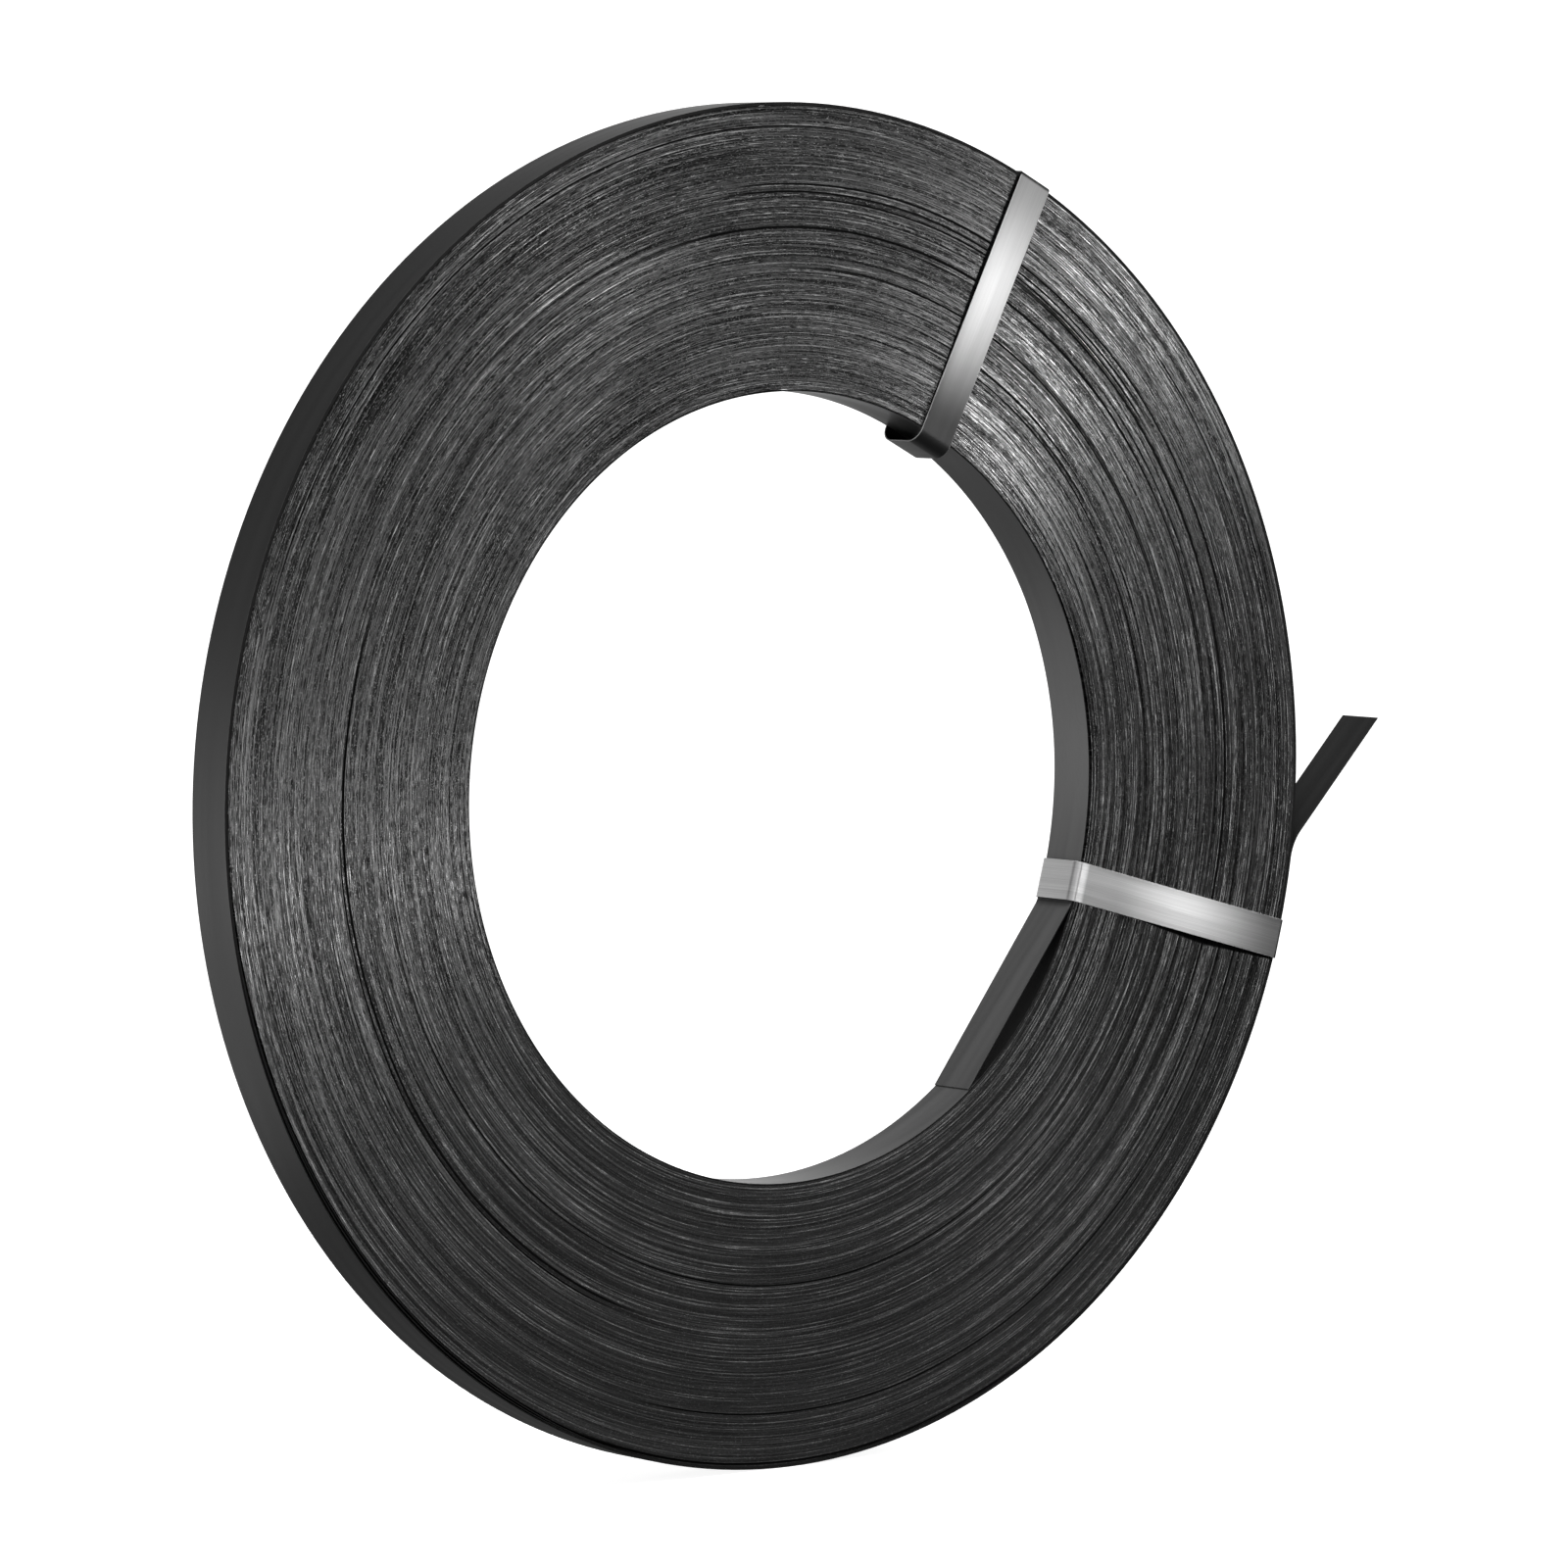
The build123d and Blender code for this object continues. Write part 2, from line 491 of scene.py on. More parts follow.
@dataclass(frozen=True)
class TurnEdges(Finish):
    """The wound strap's edges: steel edges with black paint, each turn caught by the light in its own way."""

    dark: float = 0.016
    light: float = 0.225
    gap_and_shadow_colour: float = 0.002
    metallic: float = 0.9
    roughness: float = 0.33
    gap_and_shadow_roughness: float = 0.9
    glint: float = 3.0
    middle_shade: float = 0.38
    # Painted light: the marks' contrast low and high on the coil, and the lift that lightens them at the
    # bottom.
    low_contrast: float = 0.5
    high_contrast: float = 1.45
    low_painted_light: float = 0.09
    slant: float = 0.22
    slant_spread: float = 0.85
    low_spread: float = 0.79
    turn_share: float = 0.7
    dash_share: float = 0.40
    thread_share: float = 0.34
    line_share: float = 0.26
    band_share: float = 0.14
    dashes: Streak = Streak(0.020, 0.50, 11.0, 1.0)
    threads: Streak = Streak(0.25, 0.50, 29.0, 1.0)
    lines: Streak = Streak(1.5, 0.55, 47.0, 1.0)
    bands: Streak = Streak(1.1, 8.0, 83.0, 1.0)
    specks: Streak = Streak(0.004, 0.45, 131.0, 0.0)
    turn_lean: Streak = Streak(0.9, 0.85, 7.0, 2.0)
    broken_lean: Streak = Streak(0.10, 0.6, 19.0, 1.0)
    loose_lines: tuple[LooseLine, ...] = (
        LooseLine(270.9, 1.4, 15.0, 52.0),
        LooseLine(259.9, 1.4, 58.0, 60.0),
        LooseLine(279.7, 1.1, 55.0, 52.0),
        LooseLine(276.0, 1.1, 68.0, 36.0),
        LooseLine(273.2, 0.9, 62.0, 30.0),
        LooseLine(241.0, 1.0, 45.0, 55.0),
        LooseLine(219.7, 0.8, 30.0, 48.0),
        LooseLine(253.8, 1.3, 205.0, 55.0),
        LooseLine(256.2, 0.9, 215.0, 36.0),
        LooseLine(306.5, 0.9, 120.0, 50.0),
        LooseLine(292.0, 0.9, 300.0, 60.0),
        LooseLine(232.0, 0.9, 255.0, 60.0),
        LooseLine(315.2, 1.2, 272.0, 30.0),
    )
    # Painted shadows beside the two tie bands, drawn in the same dark colour as the gaps.
    shadows: tuple[BandShadow, ...] = (
        BandShadow(63.0, 1.0, 188.0, 262.0, 0.85, 2.1),
        BandShadow(-15.1, -1.0, 224.0, 269.0, 0.35, 3.3),
    )

    def material(self, effects: Effects) -> bpy.types.Material:
        """Builds the material.

        Args:
            effects: The shared shader groups.

        Returns:
            The material.
        """
        material, w, point = self.start()
        polar = w.group(effects.polar, {"Point": point})
        radius, outward = polar["Radius"], polar["Outward"]
        ring = Ring(w, radius, outward, w.parts(outward)["Z"])
        dashes = ring.draw(self.dashes)
        masks = [w.group(effects.loose_line, {"Radius": radius, "Outward": outward, **line.inputs()})["Mask"]
                 for line in self.loose_lines]
        # The loose lines are dark gaps between turns; the band masks add painted shadow beside the tie bands.
        masks += [w.group(effects.band_shadow, {"Point": point, **shadow.inputs()})["Mask"]
                  for shadow in self.shadows]
        gaps_and_shadows = masks[0]
        for mask in masks[1:]:
            gaps_and_shadows = w.math("MAXIMUM", gaps_and_shadows, mask)
        clear_of_gaps_and_shadows = w.math("SUBTRACT", 1.0, gaps_and_shadows, clamp=True)
        colour = w.mix(self.shade(ring, dashes), grey(self.dark), grey(self.light))
        rough = w.remap(dashes, 0.3, 0.7, self.roughness + 0.10, self.roughness - 0.08)
        w.surface({
            "Base Color": w.mix(clear_of_gaps_and_shadows, grey(self.gap_and_shadow_colour), colour),
            "Metallic": self.metallic,
            "Roughness": w.remap(clear_of_gaps_and_shadows, 0.0, 1.0, self.gap_and_shadow_roughness, rough),
            "Normal": self.leaning_normal(ring),
        })
        return material

    def shade(self, ring: Ring, dashes: Socket) -> Socket:
        """How light the paint and steel are: fine marks along the turns, calmer and lighter at the bottom of
        the coil, which is painted light.

        Args:
            ring: The place on the coil.
            dashes: The finest marks.

        Returns:
            0 for the dark colour, 1 for the light one.
        """
        w = ring.w
        tone = w.times(dashes, self.dash_share)
        for streak, share in ((self.threads, self.thread_share), (self.lines, self.line_share)):
            tone = w.plus(tone, w.times(ring.draw(streak), share))
        tone = w.plus(tone, w.fused(ring.draw(self.bands), self.band_share, -self.band_share / 2))
        glint = w.times(w.remap(ring.draw(self.specks), 0.67, 0.75), self.glint)
        shade = w.plus(w.math("POWER", w.remap(tone, 0.38, 0.62), 1.5), glint)
        # Painted light: the marks keep more contrast higher up and turn calmer and lighter towards the
        # bottom, for how the light falls.
        contrast = w.remap(ring.height, -0.75, -0.2, self.low_contrast, self.high_contrast)
        shade = w.fused(w.minus(shade, self.middle_shade), contrast, self.middle_shade)
        painted_lift = w.remap(ring.height, -0.85, -0.35, self.low_painted_light, 0.0)
        return w.math("MAXIMUM", w.plus(shade, painted_lift), 0.0)

    def leaning_normal(self, ring: Ring) -> Socket:
        """The normal of the turns' edges, which lean outwards, each by its own amount.

        Args:
            ring: The place on the coil.

        Returns:
            The normal.
        """
        w = ring.w
        turned = w.remap(ring.draw(self.turn_lean), 0.40, 0.60)
        broken = w.remap(ring.draw(self.broken_lean), 0.30, 0.70)
        lean = w.blend(turned, broken, self.turn_share)
        spread = w.remap(ring.height, -0.85, -0.35, self.low_spread * self.slant_spread, self.slant_spread)
        lean = w.fused(w.minus(lean, 0.5), spread, self.slant)
        normal = w.add("ShaderNodeNewGeometry").outputs["Normal"]
        on_end = w.remap(w.size(w.parts(normal)["Y"]), 0.5, 0.8)
        return w.unit(w.shift(normal, w.scale(ring.outward, w.times(lean, on_end))))


@dataclass(frozen=True)
class StrapFace(Finish):
    """The strap's flat faces: satin black paint over steel, with faint lengthwise lines and worn edges. Where
    set, painted shade darkens them towards the top and behind the inner free end.
    """

    colour: float = 0.020
    metallic: float = 0.15
    roughness: float = 0.36
    gloss: float = 0.5
    painted_top_level: float = 1.0
    tail_shadow_radius: float = 1.0
    tail_shadow_heading: float = -36.0
    tail_shadow_reach: float = 17.0
    tail_shadow_core: float = 15.0
    tail_shadow_tone: float = 0.02
    worn_share: float = 0.35
    worn_colour: float = 0.35
    fineness: float = 2600.0
    stretch: float = 7.0
    line_share: float = 0.35

    def material(self, effects: Effects) -> bpy.types.Material:
        """Builds the material.

        Args:
            effects: The shared shader groups.

        Returns:
            The material.
        """
        material, w, point = self.start()
        polar = w.group(effects.polar, {"Point": point})
        outward, across = polar["Outward"], polar["Width"]
        brush = w.group(effects.brushing, {"Along": outward, "Across": across, "Fineness": self.fineness,
                                           "Stretch": self.stretch})
        wear = w.group(effects.edge_wear, {"Point": point, "Across": across, "Half Width": STRAP_WIDTH / 2})
        tone = w.blend(brush["Lines"], brush["Drift"], self.line_share)
        paint = w.mix(tone, grey(self.colour * 0.8), grey(self.colour * 1.2))
        # Painted shade: darker towards the top where painted_top_level is below 1.
        level = w.remap(w.parts(outward)["Z"], 0.30, 0.78, 1.0, self.painted_top_level)
        # Painted shadow of the inner free end on the bore wall behind it.
        facing = w.dot(outward, direction(self.tail_shadow_heading))
        behind = w.remap(facing, cos(radians(self.tail_shadow_reach)), cos(radians(self.tail_shadow_core)))
        behind = w.times(behind, w.math("GREATER_THAN", polar["Radius"], self.tail_shadow_radius))
        level = w.times(level, w.fused(behind, self.tail_shadow_tone - 1.0, 1.0))
        paint = w.mix(level, grey(0.0), paint)
        worn = w.times(wear["Mask"], self.worn_share)
        dust = w.noise(point, scale=900.0, detail=3.0, roughness=0.7)
        rough = w.remap(tone, 0.0, 1.0, self.roughness - 0.04, self.roughness + 0.06)
        relief = w.plus(brush["Lines"], dust)
        bump = w.add("ShaderNodeBump", {"Strength": 0.12, "Distance": BUMP_DEPTH, "Height": relief})
        w.surface({
            "Specular IOR Level": self.gloss,
            "Base Color": w.mix(worn, paint, grey(self.worn_colour)),
            "Metallic": w.math("MULTIPLY_ADD", worn, 0.8, self.metallic, clamp=True),
            "Roughness": w.fused(dust, 0.08, rough),
            "Normal": bump.outputs["Normal"],
        })
        return material


@dataclass(frozen=True)
class BandSteel(Finish):
    """A tie band: bright steel, brushed along its length, with polished edges. Its brightness along its
    length is painted: a painted sheen at sheen_middle, painted shade towards both ends and across the rim
    bend, and a painted highlight on the bore bend where bend_sheen is set.
    """

    heading: float = 0.0
    sheen_middle: float = 264.0 * MM
    bore_fade: float = 190.0 * MM
    bend_start: float = 192.0 * MM
    bend_full: float = 186.5 * MM
    bore_sheen: float = 0.06
    rim_sheen: float = 0.45
    bend_sheen: float = 0.0
    dull: float = 0.70
    bright: float = 0.88
    unlit: float = 0.02
    worn_share: float = 0.5
    worn_colour: float = 0.85
    rim_bend_shade_colour: float = 0.01
    edge_roughness: float = 0.75
    fineness: float = 1900.0
    stretch: float = 14.0
    line_share: float = 0.6

    def material(self, effects: Effects) -> bpy.types.Material:
        """Builds the material.

        Args:
            effects: The shared shader groups.

        Returns:
            The material.
        """
        material, w, point = self.start()
        spin = (0.0, radians(self.heading), 0.0)
        parts = w.parts(w.add("ShaderNodeMapping", {"Vector": point, "Rotation": spin}).outputs[0])
        along, across = parts["X"], w.plus(parts["Z"], TIE_OFFSET)
        brush = w.group(effects.brushing, {"Along": w.combine(along, parts["Y"], 0.0), "Across": across,
                                           "Fineness": self.fineness, "Stretch": self.stretch})
        wear = w.group(effects.edge_wear, {"Point": point, "Across": across, "Half Width": TIE_WIDTH / 2})
        tone = w.blend(brush["Lines"], brush["Drift"], self.line_share)
        # Painted sheen along the band: brightest at sheen_middle, fading to painted shade towards the bore
        # and the rim.
        inwards = w.remap(along, self.bore_fade, self.sheen_middle, self.bore_sheen, 1.0, Ramp.EASED)
        outwards = w.remap(along, self.sheen_middle, RIM_RADIUS, 1.0, self.rim_sheen, Ramp.EASED)
        # Painted highlight on the bore bend.
        bend = w.remap(along, self.bend_start, self.bend_full, 0.0, self.bend_sheen, Ramp.EASED)
        painted_sheen = w.math("MAXIMUM", w.times(inwards, outwards), bend)
        steel = w.mix(tone, grey(self.dull), grey(self.bright))
        steel = w.mix(painted_sheen, grey(self.unlit), steel)
        steel = w.mix(w.times(wear["Mask"], self.worn_share), steel, grey(self.worn_colour))
        # Painted shade across the bend at the rim.
        at_rim = w.remap(along, 316.6 * MM, 317.6 * MM)
        crease = w.times(at_rim, w.remap(w.size(parts["Y"]), 12.0 * MM, 12.8 * MM))
        normal = w.add("ShaderNodeNewGeometry").outputs["Normal"]
        sideways = w.dot(normal, direction(self.heading + 90.0))
        on_edge = w.remap(w.size(sideways), 0.15, 0.35)
        rough = w.remap(tone, 0.0, 1.0, 0.42, 0.30)
        bump = w.add("ShaderNodeBump", {"Strength": 0.25, "Distance": BUMP_DEPTH, "Height": brush["Lines"]})
        w.surface({
            "Base Color": w.mix(crease, steel, grey(self.rim_bend_shade_colour)),
            "Metallic": 1.0,
            "Roughness": w.math("MAXIMUM", rough, w.times(on_edge, self.edge_roughness)),
            "Normal": bump.outputs["Normal"],
        })
        return material


# Geometry node trees

@dataclass(frozen=True)
class Window:
    """1 in one direction round the axis, easing to 0 a given number of degrees either side."""

    middle: float
    half: float

    def wire(self, w: Wiring, around: Socket) -> Socket:
        """The window's value at an angle in radians, as nodes."""
        apart = w.math("COSINE", w.minus(around, radians(self.middle)))
        return w.remap(apart, cos(radians(self.half)), 1.0, ramp=Ramp.EASED)

    def value(self, angle: float) -> float:
        """Works out the window's value for one angle.

        Args:
            angle: The angle in degrees.

        Returns:
            The window's value.
        """
        low = cos(radians(self.half))
        share = min(max((cos(radians(angle - self.middle)) - low) / (1 - low), 0.0), 1.0)
        return share * share * (3 - 2 * share)


def wound_turns_tree() -> Tree:
    """The wound turns as one turned body whose ends step in and out from one bundle of turns to the next.

    Returns:
        The geometry node tree.
    """
    rows_per_bundle, unevenness, edge_spacing, bundle_spacing = 4.0, 1.3, 1.73, 2.31
    drift_speed, drift_strength = 1.2, 3.0
    names = ("Bore Radius", "Outer Radius", "Scatter", "Loose Outside", "Loose Inside", "Tight Outside",
             "Seed")
    inputs = {"Geometry": GEOMETRY, "Bundles": INT, "Segments": INT, **{name: FLOAT for name in names},
              "Material": MATERIAL}
    tree, w, at = new_tree("wound_turns", GEOMETRY_TREE, inputs, {"Geometry": GEOMETRY})
    count = at["Bundles"]
    rows = w.times(count, rows_per_bundle)
    grid = w.geo("MeshGrid", {"Size X": 1.0, "Size Y": 1.0, "Vertices X": w.plus(at["Segments"], 1.0),
                              "Vertices Y": w.plus(rows, 1.0)})
    place = w.parts(w.geo("InputPosition"))
    around = w.times(w.plus(place["X"], 0.5), tau)
    row = w.math("MODULO", w.math("ROUND", w.times(w.plus(place["Y"], 0.5), rows)), rows)
    far = w.math("GREATER_THAN", row, w.minus(w.times(count, rows_per_bundle / 2), 0.5))
    back = w.minus(w.minus(rows, 1.0), row)
    step = w.plus(w.times(row, w.minus(1.0, far)), w.times(back, far))
    bundle = w.math("FLOOR", w.times(step, 0.5))
    edge = w.plus(bundle, w.math("MODULO", step, 2.0))

    # Bundles are unevenly wide, but the first and the last edge stay at the bore and the rim.
    past_bore = w.math("GREATER_THAN", edge, 0.5)
    inner = w.times(past_bore, w.math("LESS_THAN", edge, w.minus(count, 0.5)))
    spot = w.combine(w.times(edge, edge_spacing), at["Seed"], 0.0)
    uneven = w.times(w.minus(w.noise(spot, detail=0.0), 0.5), w.times(inner, unevenness))
    share = w.math("DIVIDE", w.plus(edge, uneven), count)
    radius = w.fused(share, w.minus(at["Outer Radius"], at["Bore Radius"]), at["Bore Radius"])

    # The pack stands back from the loose turns at the lower left and from the innermost turn at the right.
    # Just past the loose turns it bulges out, so that no light comes through there.
    near_rim = w.remap(share, 0.93, 1.0)
    outside = w.times(Window(220.0, 38.0).wire(w, around), near_rim)
    tight = w.times(Window(257.0, 22.0).wire(w, around), near_rim)
    inside = w.times(Window(4.0, 30.0).wire(w, around), w.remap(share, 0.06, 0.0))
    inside = w.times(inside, w.fused(far, -2.0, 1.0))
    radius = w.minus(radius, w.times(outside, at["Loose Outside"]))
    radius = w.fused(inside, at["Loose Inside"], radius)
    radius = w.fused(tight, at["Tight Outside"], radius)

    cosine, sine = w.math("COSINE", around), w.math("SINE", around)
    drift = w.combine(w.fused(bundle, bundle_spacing, at["Seed"]), w.times(cosine, drift_speed),
                      w.times(sine, drift_speed))
    wander = w.times(w.minus(w.noise(drift, detail=1.0), 0.5), drift_strength)
    wander = w.math("MAXIMUM", w.math("MINIMUM", wander, 1.0), -1.0)
    across = w.fused(wander, at["Scatter"], w.times(w.fused(far, 2.0, -1.0), STRAP_WIDTH / 2))
    target = w.combine(w.times(radius, cosine), across, w.times(radius, sine))
    placed = w.geo("SetPosition", {"Geometry": grid, "Position": target})
    closed = w.geo("MergeByDistance", {"Geometry": placed, "Distance": MERGE_DISTANCE})
    outwards = w.geo("FlipFaces", {"Mesh": closed})
    w.add("NodeGroupOutput", {0: finish_mesh(w, outwards, at["Material"], CREASE)})
    return tree


def finish_mesh(w: Wiring, mesh: Socket, material: Socket, crease: float) -> Socket:
    """Shades a mesh smooth except at its sharp edges, and gives it its material.

    Args:
        w: The tree's wiring.
        mesh: The mesh.
        material: The material.
        crease: The angle in degrees past which an edge is sharp.

    Returns:
        The finished geometry.
    """
    smooth = w.geo("SetShadeSmooth", {"Geometry": mesh, "Shade Smooth": True}, domain="FACE")
    inputs = {"A": w.geo("InputMeshEdgeAngle"), "B": radians(crease)}
    sharp = w.add("FunctionNodeCompare", inputs, operation="GREATER_THAN").outputs[0]
    inputs = {"Geometry": smooth, "Selection": sharp, "Shade Smooth": False}
    real = w.geo("RealizeInstances", {"Geometry": w.geo("SetShadeSmooth", inputs, domain="EDGE")})
    return w.geo("SetMaterial", {"Geometry": real, "Material": material})


def sweep_strip(w: Wiring, path: Socket, at: dict[str, Socket]) -> Socket:
    """Sweeps a strip's section, with its corners eased, along a flat path.

    Args:
        w: The tree's wiring.
        path: The path, as a curve.
        at: The tree's inputs, with Thickness, Width and Edge Radius.

    Returns:
        The strip's mesh, with its ends closed.
    """
    upright = w.geo("SetCurveNormal", {0: path}, mode="Z_UP")
    outline = w.geo("CurvePrimitiveQuadrilateral", {"Width": at["Thickness"], "Height": at["Width"]})
    inputs = {"Curve": outline, "Radius": at["Edge Radius"], "Limit Radius": True, "Count": CORNER_STEPS}
    section = w.geo("FilletCurve", inputs, mode="POLY")
    return w.geo("CurveToMesh", {0: upright, 1: section, "Fill Caps": True})


def strap_ribbon_tree() -> Tree:
    """A strap that follows a flat path. The path lies in the XY plane, and the strap is then stood up on XZ.

    Returns:
        The geometry node tree.
    """
    edge_normal = 0.25
    inputs = {"Geometry": GEOMETRY, "Thickness": FLOAT, "Width": FLOAT, "Edge Radius": FLOAT,
              "Material": MATERIAL, "Edge Material": MATERIAL}
    tree, w, at = new_tree("strap_ribbon", GEOMETRY_TREE, inputs, {"Geometry": GEOMETRY})
    swept = sweep_strip(w, at["Geometry"], at)
    stood = w.geo("Transform", {0: swept, "Rotation": (radians(90.0), 0.0, 0.0)})
    body = finish_mesh(w, stood, at["Material"], STRIP_CREASE)
    normal = w.parts(w.geo("InputNormal"))["Y"]
    on_edge = w.math("GREATER_THAN", w.size(normal), edge_normal)
    dressed = w.geo("SetMaterial", {0: body, "Selection": on_edge, "Material": at["Edge Material"]})
    w.add("NodeGroupOutput", {0: dressed})
    return tree


def tie_band_tree() -> Tree:
    """A band bent once round the coil's section, with its two ends lapped on the far end.

    Returns:
        The geometry node tree.
    """
    names = ("Start", "Stop", "Inside", "Thickness", "Width", "Bore Bend", "Rim Bend", "Lap Length",
             "Heading", "Edge Radius")
    inputs = {"Geometry": GEOMETRY, **{name: FLOAT for name in names}, "Material": MATERIAL}
    tree, w, at = new_tree("tie_band", GEOMETRY_TREE, inputs, {"Geometry": GEOMETRY})
    run = w.plus(w.minus(at["Stop"], at["Start"]), at["Thickness"])
    rise = w.plus(w.times(at["Inside"], 2.0), at["Thickness"])
    loop = w.geo("CurvePrimitiveQuadrilateral", {"Width": run, "Height": rise})
    along = w.parts(w.geo("InputPosition"))["X"]
    outer = w.math("GREATER_THAN", along, 0.0)
    bend = w.plus(w.times(at["Rim Bend"], outer), w.times(at["Bore Bend"], w.minus(1.0, outer)))
    middle_bend = w.plus(bend, w.times(at["Thickness"], 0.5))
    bent = w.geo("FilletCurve", {"Curve": loop, "Radius": middle_bend, "Count": BEND_STEPS}, mode="POLY")
    centre = w.times(w.plus(at["Stop"], at["Start"]), 0.5)
    moved = w.geo("Transform", {0: bent, "Translation": w.combine(centre, 0.0, 0.0)})
    lap_y = w.fused(at["Thickness"], 1.5, at["Inside"])
    half_lap = w.times(at["Lap Length"], 0.5)
    lap_start = w.combine(w.minus(LAP_MIDDLE, half_lap), lap_y, 0.0)
    lap_end = w.combine(w.plus(LAP_MIDDLE, half_lap), lap_y, 0.0)
    paths = w.add("GeometryNodeJoinGeometry", {0: moved})
    w.feed(paths.inputs[0], w.geo("CurvePrimitiveLine", {"Start": lap_start, "End": lap_end}))
    swept = sweep_strip(w, paths.outputs[0], at)
    aside = w.geo("Transform", {0: swept, "Translation": (0.0, 0.0, -TIE_OFFSET)})
    spin = w.combine(0.0, w.times(at["Heading"], -1.0), 0.0)
    turned = w.geo("Transform", {0: aside, "Rotation": spin})
    w.add("NodeGroupOutput", {0: finish_mesh(w, turned, at["Material"], STRIP_CREASE)})
    return tree


# The object

@dataclass
class WoundPack:
    """All the tight turns between the innermost turn and the loose outer ones."""

    finish: TurnEdges
    bundles: int = 78
    segments: int = 256
    scatter: float = 0.4 * MM
    outer_allowance: float = 2.1 * MM
    inner_allowance: float = 1.1 * MM
    loose_outside: float = 1.9 * MM
    loose_inside: float = 0.6 * MM
    tight_outside: float = 0.4 * MM
    seed: float = 3.0

    def build(self, effects: Effects) -> bpy.types.Object:
        """Builds the pack's mesh.

        Args:
            effects: The shared shader groups.

        Returns:
            The finished piece.
        """
        values = {
            "Bundles": self.bundles,
            "Segments": self.segments,
            "Bore Radius": BORE_RADIUS + self.inner_allowance,
            "Outer Radius": OUTER_RADIUS - self.outer_allowance,
            "Scatter": self.scatter,
            "Loose Outside": self.loose_outside,
            "Loose Inside": self.loose_inside,
            "Tight Outside": self.tight_outside,
            "Seed": self.seed,
            "Material": self.finish.material(effects),
        }
        return run_geometry_nodes("wound_turns", wound_turns_tree(), values)


def on_ring(radius: float, angle: float) -> Vector:
    """The point of the XY plane at a radius and an angle in degrees."""
    return Vector((radius * cos(radians(angle)), radius * sin(radians(angle)), 0.0))


def path_curve(name: str, points: list[Vector]) -> bpy.types.Curve:
    """An open path through points.

    Args:
        name: The curve's name.
        points: The points, in order.

    Returns:
        The curve.
    """
    curve = bpy.data.curves.new(name, "CURVE")
    curve.dimensions = "3D"
    spline = curve.splines.new("POLY")
    spline.points.add(len(points) - 1)
    for knot, point in zip(spline.points, points):
        knot.co = (*point, 1.0)
    return curve


@dataclass(frozen=True)
class FreeEnd:
    """A free end of the strap: a bend to its right and then a straight run. The bend is in degrees."""

    bend: float
    bend_radius: float
    length: float
    bend_steps: int

    def points(self, root: Vector, heading: float) -> list[Vector]:
        """Works out the end's path.

        Args:
            root: Where it leaves the coil.
            heading: The angle in degrees at which it leaves.

        Returns:
            The points after the root, in order.
        """
        centre = root + self.bend_radius * on_ring(1.0, heading - 90)
        angles = [heading + 90 - self.bend * i / self.bend_steps for i in range(1, self.bend_steps + 1)]
        bent = [centre + self.bend_radius * on_ring(1.0, angle) for angle in angles]
        ahead = on_ring(1.0, heading - self.bend)
        return bent + [bent[-1] + ahead * self.length * i / TAIL_STEPS for i in range(1, TAIL_STEPS + 1)]


@dataclass(frozen=True)
class Slack:
    """A gap that opens under one of the outer turns, round one direction."""

    under_turn: int
    size: float
    window: Window

    def depth(self, turn: float, angle: float) -> float:
        """How far in this gap pushes a turn at one angle, in metres."""
        return self.size * self.window.value(angle) if turn >= self.under_turn else 0.0


@dataclass
class LooseStrip:
    """A part of the strap that is modelled as a strip of its own."""

    face: StrapFace
    edge: StrapFace

    def path(self) -> list[Vector]:
        """The strip's path in the XY plane, which each kind of strip gives."""
        raise NotImplementedError

    def build(self, name: str, effects: Effects, tree: Tree) -> bpy.types.Object:
        """Builds the strip.

        Args:
            name: The piece's name.
            effects: The shared shader groups.
            tree: The strap ribbon tree.

        Returns:
            The finished piece.
        """
        values = {
            "Thickness": STRAP_THICKNESS,
            "Width": STRAP_WIDTH,
            "Edge Radius": STRAP_EDGE,
            "Material": self.face.material(effects),
            "Edge Material": self.edge.material(effects),
        }
        return run_geometry_nodes(name, tree, values, path_curve(name + "_path", self.path()))


@dataclass
class OuterTurns(LooseStrip):
    """The outermost turns, loose at the lower left, and the strap's free outer end."""

    turns: int = 3
    end_angle: float = -8.8
    end: FreeEnd = FreeEnd(35.0, 25.0 * MM, 73.4 * MM, 12)
    slacks: tuple[Slack, ...] = (
        Slack(1, 0.95 * MM, Window(218.0, 32.0)),
        Slack(2, 0.95 * MM, Window(226.0, 24.0)),
    )

    def path(self) -> list[Vector]:
        """The path from the covered start of the loose turns to the tip of the free end.

        Returns:
            Points in the XY plane.
        """
        points = []
        for i in range(round(FULL_TURN * self.turns / PATH_STEP) + 1):
            back = FULL_TURN * self.turns - i * PATH_STEP
            angle = self.end_angle - back
            depth = back / FULL_TURN
            radius = OUTER_RADIUS - STRAP_THICKNESS * (0.5 + depth)
            radius -= sum(slack.depth(depth, angle) for slack in self.slacks)
            points.append(on_ring(radius, angle))
        return points + self.end.points(points[-1], self.end_angle + 90)


